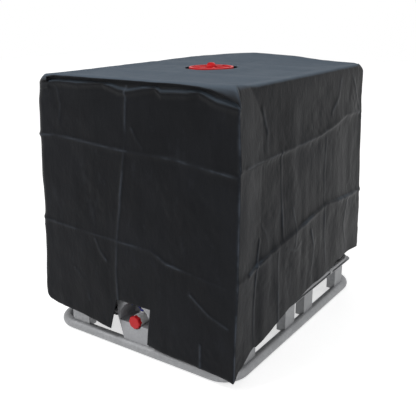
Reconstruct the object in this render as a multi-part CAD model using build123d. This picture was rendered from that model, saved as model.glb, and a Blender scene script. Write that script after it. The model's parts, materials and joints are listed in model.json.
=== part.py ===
from build123d import *
import math
import os

# A caged 1000 litre tote on a tubular steel pallet, under a fitted cover.
# Millimetres. Origin on the floor at the centre of the footprint; +Z up.
# The outlet valve faces -Y, and +X is to the right of someone facing it.

# ---------------------------------------------------------------- pallet
PALLET_WIDTH = 1000.0
PALLET_DEPTH = 1200.0
BASE_TUBE_R = 24.0
BASE_TUBE_WALL = 2.0
BASE_WEAR_FLAT = 0.5
BASE_CORNER_R = 90.0
DECK_TOP_Z = 150.0
DECK_THICK = 2.0
DECK_INSET = 12.0
FOOT_SHEET = 3.0
FOOT_FLANGE = 40.0
FRONT_FOOT_X = 334.0
FRONT_FOOT_WIDTH = 100.0
BACK_CENTRE_FOOT_WIDTH = 132.0
SIDE_FOOT_WIDTH = 88.0
SIDE_MID_FOOT_Y = 92.0
SIDE_CORNER_FOOT_Y = 440.0
BEAM_WIDTH = 36.0
BEAM_HEIGHT = 38.0
BEAM_WALL = 2.0

# ------------------------------------------------------------------ cage
CAGE_INSET = 14.0
CAGE_TOP_Z = 1145.0
CAGE_TUBE_R = 9.0
CAGE_TUBE_WALL = 1.5
CAGE_CORNER_R = 80.0
HOOP_COUNT = 8
HOOP_LIFT = 3.0
WELD_SINK = 1.0
UPRIGHT_PITCH = 108.0
FRONT_UPRIGHTS = 8
SIDE_UPRIGHTS = 10
TOP_BAR_Y = 216.0
TOP_BAR_WIDTH = 30.0
TOP_BAR_HEIGHT = 18.0
TOP_BAR_WALL = 2.0
TOP_BAR_LUG = 6.0
M8_R = 4.0
BOLT_CLEARANCE = 0.3
HEAD_R = 6.5
HEAD_HEIGHT = 5.0
NUT_HEIGHT = 6.0
CLIP_STRAP = 2.0
CLIP_LENGTH = 24.0
CLIP_TAB = 20.0
CLIP_FIT = 0.3
LABEL_WIDTH = 300.0
LABEL_SHEET = 1.5
LABEL_OVERLAP = 8.0
LABEL_STANDOFF = 0.3
FRONT_LABEL_HOOP = 4
BACK_LABEL_HOOP = 4

# ---------------------------------------------------------------- bottle
BOTTLE_CAGE_GAP = 2.0
BOTTLE_WALL = 3.0
BOTTLE_CORNER_R = 90.0
BOTTLE_EDGE_R = 32.0
ALCOVE_WIDTH = 220.0
ALCOVE_DEPTH = 112.0
ALCOVE_TOP_Z = 262.0
ALCOVE_R = 14.0
SUMP_WIDTH = 140.0
SUMP_DEPTH = 140.0
SUMP_BOTTOM_Z = 98.0
SUMP_R = 12.0
NECK_BORE_R = 72.0
NECK_WALL = 8.0
NECK_HEIGHT = 28.0

# -------------------------------------------------------------- fill cap
FILL_CAP_R = 100.0
FILL_CAP_RIM = 10.0
FILL_CAP_SKIRT_WALL = 9.0
FILL_CAP_TOP_THICK = 6.0
FILL_CAP_RIBS = 36
FILL_CAP_LUGS = 8
THREAD_CLEARANCE = 1.0
GASKET_THICK = 3.0
VENT_HEAD_R = 21.0
VENT_HEAD_HEIGHT = 17.0
VENT_SHANK_R = 14.0
VENT_SHANK_LENGTH = 16.0
VENT_BORE_R = 8.0
VENT_GASKET_THICK = 2.0
RUNNING_FIT = 0.05

# ----------------------------------------------------------- outlet valve
VALVE_Z = 142.0
BALL_SETBACK = 52.0
BALL_R = 23.0
VALVE_BORE_R = 16.0
VALVE_BODY_R = 28.0
NOZZLE_R = 23.0
NOZZLE_PROUD = 3.0
ADAPTER_SETBACK = 16.0
ADAPTER_LIP = 3.0
SEAT_LENGTH = 14.0
CHAMBER_CLEARANCE = 0.3
CHAMBER_BACK = 26.0
INLET_FLANGE_R = 33.0
INLET_FLANGE_THICK = 6.0
INLET_GASKET_THICK = 2.0
OUTLET_NECK_BORE_R = 20.0
UNION_NUT_R = 40.0
UNION_LIP = 4.5
UNION_NUT_LENGTH = 39.0
UNION_RIBS = 12
BONNET_R = 13.0
BONNET_TOP_Z = 176.0
STEM_R = 6.0
STEM_TOP_Z = 185.0
STEM_TANG = 5.0
TANG_WIDTH = 7.0
O_RING_SECTION = 1.2
O_RING_HEIGHT = 2.0
LEVER_HUB_R = 11.0
LEVER_REACH = 57.0
LEVER_WIDTH = 13.0
LEVER_THICK = 5.0
LEVER_RISE = 12.0
LEVER_SCREW_R = 2.5
LEVER_SCREW_LENGTH = 14.0
LEVER_SCREW_HEAD_R = 5.0
LEVER_SCREW_HEAD = 3.0
OUTLET_CAP_R = 29.0
OUTLET_CAP_DEPTH = 18.0
OUTLET_CAP_FACE = 4.0
OUTLET_CAP_RIBS = 8
OUTLET_GASKET_THICK = 2.0

# ------------------------------------------------- valve guard and recess
GUARD_COVER_GAP = 8.0
GUARD_SHEET = 2.5
GUARD_TOP_Z = 225.0
GUARD_SHOULDER_Z = 150.0
GUARD_TOP_WIDTH = 196.0
GUARD_FOOT_WIDTH = 132.0
GUARD_FLANGE = 40.0
ARCH_HALF_WIDTH = 86.0
ARCH_HEIGHT = 100.0
ARCH_SILL_Z = 130.0
SCALLOP_R = 33.0
PAN_SHEET = 2.0
PAN_DEPTH = 96.0
PAN_HOLE_FIT = 1.0

# ----------------------------------------------------------------- cover
COVER_GAP = 6.0
COVER_FILM = 2.0
COVER_REST_GAP = 0.3
COVER_HEM_Z = 80.0
COVER_SIDE_HEM_Z = 110.0
COVER_HOLE_R = 118.0
NOTCH_WIDTH = 210.0
NOTCH_TOP_Z = 215.0
CORNER_FOLD_REACH = 20.0
CORNER_FOLD_ROOT = 26.0
CORNER_FOLD_HEM_Z = 60.0
CORNER_FOLD_TOP_DROP = 40.0

# -------------------------------------------------------- worked-out sizes
BASE_TUBE_Z = BASE_TUBE_R - BASE_WEAR_FLAT
BASE_X = PALLET_WIDTH / 2 - BASE_TUBE_R
BASE_Y = PALLET_DEPTH / 2 - BASE_TUBE_R
DECK_X = PALLET_WIDTH / 2 - DECK_INSET
DECK_Y = PALLET_DEPTH / 2 - DECK_INSET
DECK_UNDER_Z = DECK_TOP_Z - DECK_THICK
CAGE_X = PALLET_WIDTH / 2 - CAGE_INSET
CAGE_Y = PALLET_DEPTH / 2 - CAGE_INSET
HOOP_X = CAGE_X - CAGE_TUBE_R
HOOP_Y = CAGE_Y - CAGE_TUBE_R
UPRIGHT_OFFSET = 2 * CAGE_TUBE_R - WELD_SINK
UPRIGHT_X = HOOP_X - UPRIGHT_OFFSET
UPRIGHT_Y = HOOP_Y - UPRIGHT_OFFSET
BOTTOM_HOOP_Z = DECK_TOP_Z + HOOP_LIFT + CAGE_TUBE_R
TOP_HOOP_Z = CAGE_TOP_Z - CAGE_TUBE_R
HOOP_PITCH = (TOP_HOOP_Z - BOTTOM_HOOP_Z) / (HOOP_COUNT - 1)
HOOP_LEVELS = [BOTTOM_HOOP_Z + i * HOOP_PITCH for i in range(HOOP_COUNT)]
BOTTLE_X = UPRIGHT_X - CAGE_TUBE_R - BOTTLE_CAGE_GAP
BOTTLE_Y = UPRIGHT_Y - CAGE_TUBE_R - BOTTLE_CAGE_GAP
TOP_BAR_TOP_Z = TOP_HOOP_Z - CAGE_TUBE_R
BOTTLE_TOP_Z = TOP_BAR_TOP_Z - TOP_BAR_HEIGHT
NECK_R = NECK_BORE_R + NECK_WALL
NECK_TOP_Z = BOTTLE_TOP_Z + NECK_HEIGHT
ALCOVE_BACK_Y = -BOTTLE_Y + ALCOVE_DEPTH
SUMP_BACK_Y = ALCOVE_BACK_Y + SUMP_DEPTH
FILL_GASKET_TOP_Z = NECK_TOP_Z + GASKET_THICK
FILL_CAP_TOP_Z = FILL_GASKET_TOP_Z + FILL_CAP_TOP_THICK + FILL_CAP_RIM
FILL_SKIRT_R = NECK_R + THREAD_CLEARANCE
VENT_SEAT_Z = FILL_CAP_TOP_Z - FILL_CAP_RIM
COVER_X = CAGE_X + COVER_GAP
COVER_Y = CAGE_Y + COVER_GAP
GUARD_FACE_Y = -(COVER_Y - GUARD_COVER_GAP)
GUARD_BACK_Y = GUARD_FACE_Y + GUARD_SHEET
PAN_BACK_Y = GUARD_BACK_Y + PAN_DEPTH
BALL_Y = GUARD_FACE_Y + BALL_SETBACK
NOZZLE_END_Y = GUARD_FACE_Y - NOZZLE_PROUD
ADAPTER_FACE_Y = GUARD_FACE_Y + ADAPTER_SETBACK
COVER_UNDER_Z = CAGE_TOP_Z + COVER_REST_GAP


# ------------------------------------------------------------ small helpers
def box(low, high):
    """Axis-aligned block between two corners."""
    size = [b - a for a, b in zip(low, high)]
    middle = [(a + b) / 2 for a, b in zip(low, high)]
    return Pos(*middle) * Box(*size)


def rod(start, end, radius):
    """Round bar between two points that differ along one axis."""
    path = Vector(*end) - Vector(*start)
    plane = Plane(origin=start, z_dir=path.normalized())
    return extrude(plane * Circle(radius), path.length)


def tube(start, end, radius, wall):
    """Round tube between two points that differ along one axis."""
    path = Vector(*end) - Vector(*start)
    plane = Plane(origin=start, z_dir=path.normalized())
    return extrude(plane * (Circle(radius) - Circle(radius - wall)), path.length)


def ring_y(near_y, far_y, radius, bore):
    """Ring about the valve axis, which runs along Y."""
    return tube((0, near_y, VALVE_Z), (0, far_y, VALVE_Z), radius, radius - bore)


def disc_y(near_y, far_y, radius):
    """Disc about the valve axis."""
    return rod((0, near_y, VALVE_Z), (0, far_y, VALVE_Z), radius)


def tube_bend(x_side, y_side, half_x, half_y, z, corner_r, radius, wall):
    """Quarter bend of a tube loop, in the corner named by two signs."""
    section = Circle(radius) - Circle(radius - wall)
    section = Plane.XZ * Pos(corner_r, 0) * section
    bend = revolve(section, Axis.Z, 90)
    turn = {(1, 1): 0, (-1, 1): 90, (-1, -1): 180, (1, -1): 270}[(x_side, y_side)]
    centre = Pos(x_side * (half_x - corner_r), y_side * (half_y - corner_r), z)
    return centre * Rot(0, 0, turn) * bend


def centred(count, pitch):
    """Evenly pitched places about zero."""
    return [(i - (count - 1) / 2) * pitch for i in range(count)]


# ------------------------------------------------------------------ pallet
def base_tube_trim():
    """Everything below the floor, cut off the base tube as its wear flat."""
    return box((-PALLET_WIDTH, -PALLET_DEPTH, -BASE_TUBE_R), (PALLET_WIDTH, PALLET_DEPTH, 0))


def base_rails():
    """Four straight runs of the base tube."""
    run_x = BASE_X - BASE_CORNER_R
    run_y = BASE_Y - BASE_CORNER_R
    z = BASE_TUBE_Z
    rails = []
    for side in (-1, 1):
        rails.append(tube((-run_x, side * BASE_Y, z), (run_x, side * BASE_Y, z), BASE_TUBE_R, BASE_TUBE_WALL))
        rails.append(tube((side * BASE_X, -run_y, z), (side * BASE_X, run_y, z), BASE_TUBE_R, BASE_TUBE_WALL))
    return [rail - base_tube_trim() for rail in rails]


def base_corners():
    """Four quarter bends that close the base tube."""
    bends = []
    for x_side in (-1, 1):
        for y_side in (-1, 1):
            bend = tube_bend(x_side, y_side, BASE_X, BASE_Y, BASE_TUBE_Z,
                             BASE_CORNER_R, BASE_TUBE_R, BASE_TUBE_WALL)
            bends.append(bend - base_tube_trim())
    return bends


def base_tube_core(along_x, side):
    """Solid bar where one base rail runs, to cope what stands on it."""
    if along_x:
        return rod((-PALLET_WIDTH, side * BASE_Y, BASE_TUBE_Z), (PALLET_WIDTH, side * BASE_Y, BASE_TUBE_Z),
                   BASE_TUBE_R)
    return rod((side * BASE_X, -PALLET_DEPTH, BASE_TUBE_Z), (side * BASE_X, PALLET_DEPTH, BASE_TUBE_Z),
               BASE_TUBE_R)


def foot(centre, width, along_x, side):
    """Folded sheet foot: a face plate over the base tube and two flanges."""
    low_z = BASE_TUBE_Z + BASE_TUBE_R / 2
    reach = BASE_Y if along_x else BASE_X
    outer = reach + FOOT_SHEET / 2
    inner = reach - FOOT_SHEET / 2
    back = inner - FOOT_FLANGE
    plates = [(centre - width / 2, centre + width / 2, inner, outer),
              (centre - width / 2, centre - width / 2 + FOOT_SHEET, back, inner),
              (centre + width / 2 - FOOT_SHEET, centre + width / 2, back, inner)]
    shape = None
    for low, high, near, far in plates:
        ends = sorted((side * near, side * far))
        if along_x:
            plate = box((low, ends[0], low_z), (high, ends[1], DECK_UNDER_Z))
        else:
            plate = box((ends[0], low, low_z), (ends[1], high, DECK_UNDER_Z))
        shape = plate if shape is None else shape + plate
    return shape - base_tube_core(along_x, side)


def front_feet():
    return [foot(x, FRONT_FOOT_WIDTH, True, -1) for x in (-FRONT_FOOT_X, FRONT_FOOT_X)]


def back_feet():
    feet = [foot(x, FRONT_FOOT_WIDTH, True, 1) for x in (-FRONT_FOOT_X, FRONT_FOOT_X)]
    feet.append(foot(0, BACK_CENTRE_FOOT_WIDTH, True, 1))
    return feet


def side_feet(side):
    places = (-SIDE_CORNER_FOOT_Y, -SIDE_MID_FOOT_Y, SIDE_MID_FOOT_Y, SIDE_CORNER_FOOT_Y)
    return [foot(y, SIDE_FOOT_WIDTH, False, side) for y in places]


def deck_slot(z_low, z_high):
    """The front slot of the deck, which clears the recess pan and the sump."""
    half = GUARD_TOP_WIDTH / 2 + 1
    return box((-half, -PALLET_DEPTH, z_low), (half, SUMP_BACK_Y + SUMP_R, z_high))


def clip_places():
    """Where the cage clips stand: (x, y, turn), with +Y of the clip outward."""
    across = UPRIGHT_PITCH * 2
    along = UPRIGHT_PITCH * 3
    places = []
    for sign in (-1, 1):
        places.append((sign * across, HOOP_Y, 0))
        places.append((sign * across, -HOOP_Y, 180))
        places.append((HOOP_X, sign * along, -90))
        places.append((-HOOP_X, sign * along, 90))
    return places


def clip_bolt_inset():
    return CAGE_TUBE_R + CLIP_FIT + CLIP_STRAP + CLIP_TAB / 2


def deck_panel():
    """Sheet deck with the front slot and the holes of the cage clips."""
    deck = box((-DECK_X, -DECK_Y, DECK_UNDER_Z), (DECK_X, DECK_Y, DECK_TOP_Z))
    deck = fillet(deck.edges().filter_by(Axis.Z), BASE_CORNER_R / 2)
    deck -= deck_slot(0, CAGE_TOP_Z)
    for x, y, turn in clip_places():
        place = Pos(x, y, 0) * Rot(0, 0, turn)
        deck -= place * rod((0, -clip_bolt_inset(), 0), (0, -clip_bolt_inset(), CAGE_TOP_Z), M8_R + BOLT_CLEARANCE)
    return [deck]


def beam(x_low, x_high, y):
    """Rectangular tube under the deck, along X."""
    low_z = DECK_UNDER_Z - BEAM_HEIGHT
    outer = box((x_low, y - BEAM_WIDTH / 2, low_z), (x_high, y + BEAM_WIDTH / 2, DECK_UNDER_Z))
    inner = box((x_low, y - BEAM_WIDTH / 2 + BEAM_WALL, low_z + BEAM_WALL),
                (x_high, y + BEAM_WIDTH / 2 - BEAM_WALL, DECK_UNDER_Z - BEAM_WALL))
    return outer - inner


def deck_beams():
    """Cross beams from foot to foot; the front one stops each side of the slot."""
    end = BASE_X - FOOT_SHEET / 2
    slot = GUARD_TOP_WIDTH / 2 + 1
    beams = [beam(-end, end, y) for y in (-SIDE_MID_FOOT_Y, SIDE_MID_FOOT_Y, SIDE_CORNER_FOOT_Y)]
    beams.append(beam(-end, -slot, -SIDE_CORNER_FOOT_Y))
    beams.append(beam(slot, end, -SIDE_CORNER_FOOT_Y))
    return beams


# -------------------------------------------------------------------- cage
def cage_end_rails(side):
    """Hoop runs across the front (-1) or back (+1) of the cage."""
    run = HOOP_X - CAGE_CORNER_R
    rails = []
    for level, z in enumerate(HOOP_LEVELS):
        y = side * HOOP_Y
        if side < 0 and z - CAGE_TUBE_R < GUARD_TOP_Z:
            stop = GUARD_TOP_WIDTH / 2 + CHAMBER_CLEARANCE
            rails.append(tube((-run, y, z), (-stop, y, z), CAGE_TUBE_R, CAGE_TUBE_WALL))
            rails.append(tube((stop, y, z), (run, y, z), CAGE_TUBE_R, CAGE_TUBE_WALL))
        else:
            rails.append(tube((-run, y, z), (run, y, z), CAGE_TUBE_R, CAGE_TUBE_WALL))
    return rails


def cage_side_rails(side):
    """Hoop runs along one long side; the top one is drilled for the top bars."""
    run = HOOP_Y - CAGE_CORNER_R
    x = side * HOOP_X
    rails = [tube((x, -run, z), (x, run, z), CAGE_TUBE_R, CAGE_TUBE_WALL) for z in HOOP_LEVELS]
    for y in (-TOP_BAR_Y, TOP_BAR_Y):
        rails[-1] -= rod((x, y, TOP_BAR_TOP_Z - 1), (x, y, TOP_HOOP_Z), M8_R + BOLT_CLEARANCE)
    return rails


def cage_corner_bends():
    bends = []
    for z in HOOP_LEVELS:
        for x_side in (-1, 1):
            for y_side in (-1, 1):
                bends.append(tube_bend(x_side, y_side, HOOP_X, HOOP_Y, z,
                                       CAGE_CORNER_R, CAGE_TUBE_R, CAGE_TUBE_WALL))
    return bends


def cage_end_uprights(side):
    """Uprights of the front or back; those over the recess start one hoop up."""
    clear = GUARD_TOP_WIDTH / 2 + CAGE_TUBE_R
    uprights = []
    for x in centred(FRONT_UPRIGHTS, UPRIGHT_PITCH):
        over_recess = side < 0 and abs(x) < clear
        low_z = HOOP_LEVELS[1] - CAGE_TUBE_R if over_recess else DECK_TOP_Z
        uprights.append(tube((x, side * UPRIGHT_Y, low_z), (x, side * UPRIGHT_Y, TOP_HOOP_Z),
                             CAGE_TUBE_R, CAGE_TUBE_WALL))
    return uprights


def cage_side_uprights(side):
    return [tube((side * UPRIGHT_X, y, DECK_TOP_Z), (side * UPRIGHT_X, y, TOP_HOOP_Z), CAGE_TUBE_R, CAGE_TUBE_WALL)
            for y in centred(SIDE_UPRIGHTS, UPRIGHT_PITCH)]


def cage_clips():
    """Saddle straps over the bottom hoop, each with a tab bolted to the deck."""
    inner = CAGE_TUBE_R + CLIP_FIT
    outer = inner + CLIP_STRAP
    half = CLIP_LENGTH / 2
    lift = BOTTOM_HOOP_Z - DECK_TOP_Z
    clip = rod((-half, 0, lift), (half, 0, lift), outer) + box((-half, -outer, 0), (half, outer, lift))
    clip -= rod((-half, 0, lift), (half, 0, lift), inner) + box((-half, -inner, 0), (half, inner, lift))
    clip += box((-half, -outer - CLIP_TAB, 0), (half, -outer, CLIP_STRAP))
    clip -= rod((0, -clip_bolt_inset(), 0), (0, -clip_bolt_inset(), lift), M8_R + BOLT_CLEARANCE)
    return [Pos(x, y, DECK_TOP_Z) * Rot(0, 0, turn) * clip for x, y, turn in clip_places()]


def cage_clip_bolts():
    """Hexagon bolts down through the clip tabs and the deck."""
    head = extrude(Pos(0, 0, CLIP_STRAP) * RegularPolygon(HEAD_R, 6), HEAD_HEIGHT)
    shank = rod((0, 0, -DECK_THICK - NUT_HEIGHT - 2), (0, 0, CLIP_STRAP), M8_R)
    bolt = Pos(0, -clip_bolt_inset(), 0) * (head + shank)
    return [Pos(x, y, DECK_TOP_Z) * Rot(0, 0, turn) * bolt for x, y, turn in clip_places()]


def cage_clip_nuts():
    nut = extrude(RegularPolygon(HEAD_R, 6) - Circle(M8_R + RUNNING_FIT), -NUT_HEIGHT)
    nut = Pos(0, -clip_bolt_inset(), -DECK_THICK) * nut
    return [Pos(x, y, DECK_TOP_Z) * Rot(0, 0, turn) * nut for x, y, turn in clip_places()]


def top_bar(y):
    """Box-section bar over the bottle, with lugs bolted under the top hoop."""
    half = TOP_BAR_WIDTH / 2
    run = HOOP_X - CAGE_TUBE_R - 4 * TOP_BAR_LUG
    low = BOTTLE_TOP_Z
    bar = box((-run, y - half, low), (run, y + half, TOP_BAR_TOP_Z))
    bar -= box((-run, y - half + TOP_BAR_WALL, low + TOP_BAR_WALL),
               (run, y + half - TOP_BAR_WALL, TOP_BAR_TOP_Z - TOP_BAR_WALL))
    for side in (-1, 1):
        ends = sorted((side * (run - 3 * TOP_BAR_LUG), side * (HOOP_X + HEAD_R)))
        lug = box((ends[0], y - half, TOP_BAR_TOP_Z - TOP_BAR_LUG), (ends[1], y + half, TOP_BAR_TOP_Z))
        x = side * HOOP_X
        bar += lug
        bar -= rod((x, y, low), (x, y, TOP_BAR_TOP_Z), M8_R + BOLT_CLEARANCE)
    return [bar]


def top_bar_bolts():
    """Bolts up through the lugs into the hollow of the top hoop."""
    bolts = []
    under = TOP_BAR_TOP_Z - TOP_BAR_LUG
    for x in (-HOOP_X, HOOP_X):
        for y in (-TOP_BAR_Y, TOP_BAR_Y):
            head = extrude(Pos(x, y, under) * RegularPolygon(HEAD_R, 6), -HEAD_HEIGHT)
            bolts.append(head + rod((x, y, under), (x, y, TOP_HOOP_Z), M8_R))
    return bolts


def label_plate(side, hoop):
    """Blank sheet plate hung outside two hoops of the front or back."""
    low = HOOP_LEVELS[hoop] - LABEL_OVERLAP
    high = HOOP_LEVELS[hoop + 1] + LABEL_OVERLAP
    near = CAGE_Y + LABEL_STANDOFF
    ends = sorted((side * near, side * (near + LABEL_SHEET)))
    plate = box((-LABEL_WIDTH / 2, ends[0], low), (LABEL_WIDTH / 2, ends[1], high))
    return [fillet(plate.edges().filter_by(Axis.Y), LABEL_OVERLAP)]


# ------------------------------------------------------------------ bottle
def soft_box(low, high, upright_r, edge_r):
    """Block with rounded uprights and rounded top and bottom edges."""
    shape = box(low, high)
    shape = fillet(shape.edges().filter_by(Axis.Z), upright_r)
    rims = shape.edges().group_by(Axis.Z)
    return fillet(rims[0] + rims[-1], edge_r)


def bottle_body(shrink):
    """Outside of the bottle's body, or its inside when shrunk by the wall."""
    body = soft_box((-BOTTLE_X + shrink, -BOTTLE_Y + shrink, DECK_TOP_Z + shrink),
                    (BOTTLE_X - shrink, BOTTLE_Y - shrink, BOTTLE_TOP_Z - shrink),
                    BOTTLE_CORNER_R - shrink, BOTTLE_EDGE_R - shrink)
    half = ALCOVE_WIDTH / 2 + shrink
    alcove = box((-half, -PALLET_DEPTH, 0), (half, ALCOVE_BACK_Y + shrink, ALCOVE_TOP_Z + shrink))
    alcove = fillet(alcove.edges().filter_by(Axis.Y).group_by(Axis.Z)[-1], ALCOVE_R + shrink)
    sump = box((-SUMP_WIDTH / 2 + shrink, ALCOVE_BACK_Y + shrink, SUMP_BOTTOM_Z + shrink),
               (SUMP_WIDTH / 2 - shrink, SUMP_BACK_Y - shrink, ALCOVE_TOP_Z - shrink))
    sump = fillet(sump.edges().filter_by(Axis.Z), SUMP_R - shrink)
    return (body - alcove) + sump


def tank_bottle():
    """Hollow bottle with its fill neck on top and its outlet neck in the alcove."""
    neck_root = BOTTLE_TOP_Z - BOTTLE_WALL
    outlet_tip = inlet_gasket_y()[1]
    shape = bottle_body(0)
    shape += rod((0, 0, neck_root), (0, 0, NECK_TOP_Z), NECK_R)
    shape += disc_y(outlet_tip, ALCOVE_BACK_Y + BOTTLE_WALL, INLET_FLANGE_R)
    shape -= bottle_body(BOTTLE_WALL)
    shape -= rod((0, 0, neck_root - BOTTLE_WALL), (0, 0, NECK_TOP_Z), NECK_BORE_R)
    shape -= disc_y(outlet_tip, ALCOVE_BACK_Y + 2 * BOTTLE_WALL, OUTLET_NECK_BORE_R)
    return [shape]


# ---------------------------------------------------------------- fill cap
def fill_cap_gasket():
    return [tube((0, 0, NECK_TOP_Z), (0, 0, FILL_GASKET_TOP_Z), NECK_R, NECK_WALL)]


def fill_cap():
    """Screw lid: rim, skirt over the neck, grip ribs, and a seat for the vent."""
    skirt_r = FILL_SKIRT_R + FILL_CAP_SKIRT_WALL
    rim_low = VENT_SEAT_Z - FILL_CAP_TOP_THICK
    skirt_low = BOTTLE_TOP_Z + GASKET_THICK
    cap = rod((0, 0, rim_low), (0, 0, FILL_CAP_TOP_Z), FILL_CAP_R)
    cap = fillet(cap.edges().group_by(Axis.Z)[-1], FILL_CAP_RIM / 4)
    cap += tube((0, 0, skirt_low), (0, 0, rim_low), skirt_r, FILL_CAP_SKIRT_WALL)
    for i in range(FILL_CAP_RIBS):
        rib = rod((skirt_r, 0, skirt_low + 1), (skirt_r, 0, rim_low), 2)
        cap += Rot(0, 0, i * 360 / FILL_CAP_RIBS) * rib
    dish = rod((0, 0, VENT_SEAT_Z), (0, 0, FILL_CAP_TOP_Z), FILL_CAP_R - FILL_CAP_RIM)
    for i in range(FILL_CAP_LUGS):
        lug = box((VENT_HEAD_R + FILL_CAP_RIM, -4, VENT_SEAT_Z), (FILL_CAP_R, 4, FILL_CAP_TOP_Z))
        dish -= Rot(0, 0, i * 360 / FILL_CAP_LUGS) * lug
    cap -= dish
    cap -= rod((0, 0, rim_low), (0, 0, FILL_CAP_TOP_Z), VENT_SHANK_R + THREAD_CLEARANCE / 2)
    return [cap]


def vent_plug_gasket():
    return [tube((0, 0, VENT_SEAT_Z), (0, 0, VENT_SEAT_Z + VENT_GASKET_THICK),
                 VENT_HEAD_R - 2, VENT_HEAD_R - 2 - VENT_SHANK_R - THREAD_CLEARANCE)]


def vent_plug():
    """Domed vent plug with a hollow threaded shank and a grip bar."""
    low = VENT_SEAT_Z + VENT_GASKET_THICK
    top = FILL_CAP_TOP_Z + VENT_HEAD_HEIGHT
    plug = rod((0, 0, low), (0, 0, top), VENT_HEAD_R)
    plug = fillet(plug.edges().group_by(Axis.Z)[-1], VENT_HEAD_HEIGHT * 0.8)
    for side in (-1, 1):
        ends = sorted((side * 5, side * VENT_HEAD_R))
        plug -= box((-VENT_HEAD_R, ends[0], FILL_CAP_TOP_Z + 5), (VENT_HEAD_R, ends[1], top))
    plug += rod((0, 0, low - VENT_SHANK_LENGTH), (0, 0, low), VENT_SHANK_R)
    plug -= rod((0, 0, low - VENT_SHANK_LENGTH), (0, 0, FILL_CAP_TOP_Z - 2), VENT_BORE_R)
    return [plug]


# ------------------------------------------------------------ outlet valve
def chamber_r():
    return BALL_R + 1


def inlet_flange_y():
    """Near and far faces of the valve's inlet flange."""
    near = PAN_BACK_Y + PAN_SHEET + UNION_LIP + 1
    return near, near + INLET_FLANGE_THICK


def inlet_gasket_y():
    near = inlet_flange_y()[1]
    return near, near + INLET_GASKET_THICK


def valve_body():
    """Body round the ball, with the bonnet on top and a flange at the inlet."""
    near, far = inlet_flange_y()
    body = disc_y(ADAPTER_FACE_Y, far, VALVE_BODY_R)
    body += disc_y(near, far, INLET_FLANGE_R)
    body += rod((0, BALL_Y, VALVE_Z), (0, BALL_Y, BONNET_TOP_Z), BONNET_R)
    body -= disc_y(ADAPTER_FACE_Y, BALL_Y + CHAMBER_BACK, chamber_r())
    body -= disc_y(BALL_Y, far, VALVE_BORE_R)
    body -= rod((0, BALL_Y, VALVE_Z), (0, BALL_Y, BONNET_TOP_Z), STEM_R + RUNNING_FIT)
    return [body]


def valve_outlet_adapter():
    """Nozzle that closes the ball chamber and carries the outlet thread."""
    plug_end = BALL_Y - CHAMBER_BACK
    nozzle = disc_y(NOZZLE_END_Y, ADAPTER_FACE_Y, NOZZLE_R)
    nozzle += disc_y(ADAPTER_FACE_Y - ADAPTER_LIP, ADAPTER_FACE_Y, VALVE_BODY_R)
    nozzle += disc_y(ADAPTER_FACE_Y, plug_end, chamber_r() - CHAMBER_CLEARANCE)
    return [nozzle - disc_y(NOZZLE_END_Y, plug_end, VALVE_BORE_R)]


def valve_ball():
    """Ball with its bore, shown closed: the bore lies across the flow."""
    ball = Pos(0, BALL_Y, VALVE_Z) * Sphere(BALL_R)
    ball -= rod((-BALL_R, BALL_Y, VALVE_Z), (BALL_R, BALL_Y, VALVE_Z), VALVE_BORE_R)
    half = TANG_WIDTH / 2 + RUNNING_FIT
    ball -= box((-half, BALL_Y - STEM_R - 1, VALVE_Z + BALL_R - STEM_TANG),
                (half, BALL_Y + STEM_R + 1, VALVE_Z + BALL_R))
    return [ball]


def valve_seats():
    """Two seat rings with a hollow face against the ball."""
    seats = []
    for side in (-1, 1):
        ends = sorted((BALL_Y + side * CHAMBER_BACK, BALL_Y + side * (CHAMBER_BACK - SEAT_LENGTH)))
        seat = ring_y(ends[0], ends[1], chamber_r() - CHAMBER_CLEARANCE, VALVE_BORE_R)
        seats.append(seat - Pos(0, BALL_Y, VALVE_Z) * Sphere(BALL_R + RUNNING_FIT))
    return seats


def o_ring_levels():
    middle = (BONNET_TOP_Z + VALVE_Z + chamber_r()) / 2
    return (middle - O_RING_HEIGHT, middle + O_RING_HEIGHT)


def valve_stem():
    """Stem from the slot in the ball to the lever, grooved for two O-rings."""
    tang_low = VALVE_Z + BALL_R - STEM_TANG + RUNNING_FIT
    shoulder = VALVE_Z + BALL_R + RUNNING_FIT
    stem = rod((0, BALL_Y, shoulder), (0, BALL_Y, STEM_TOP_Z), STEM_R)
    stem += box((-TANG_WIDTH / 2, BALL_Y - STEM_R + 1, tang_low), (TANG_WIDTH / 2, BALL_Y + STEM_R - 1, shoulder))
    for z in o_ring_levels():
        stem -= tube((0, BALL_Y, z - O_RING_HEIGHT / 2), (0, BALL_Y, z + O_RING_HEIGHT / 2), STEM_R, O_RING_SECTION)
    stem -= rod((0, BALL_Y, STEM_TOP_Z - LEVER_SCREW_LENGTH), (0, BALL_Y, STEM_TOP_Z), LEVER_SCREW_R + RUNNING_FIT)
    return [stem]


def stem_o_rings():
    return [tube((0, BALL_Y, z - O_RING_HEIGHT / 2), (0, BALL_Y, z + O_RING_HEIGHT / 2), STEM_R, O_RING_SECTION)
            for z in o_ring_levels()]


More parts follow.
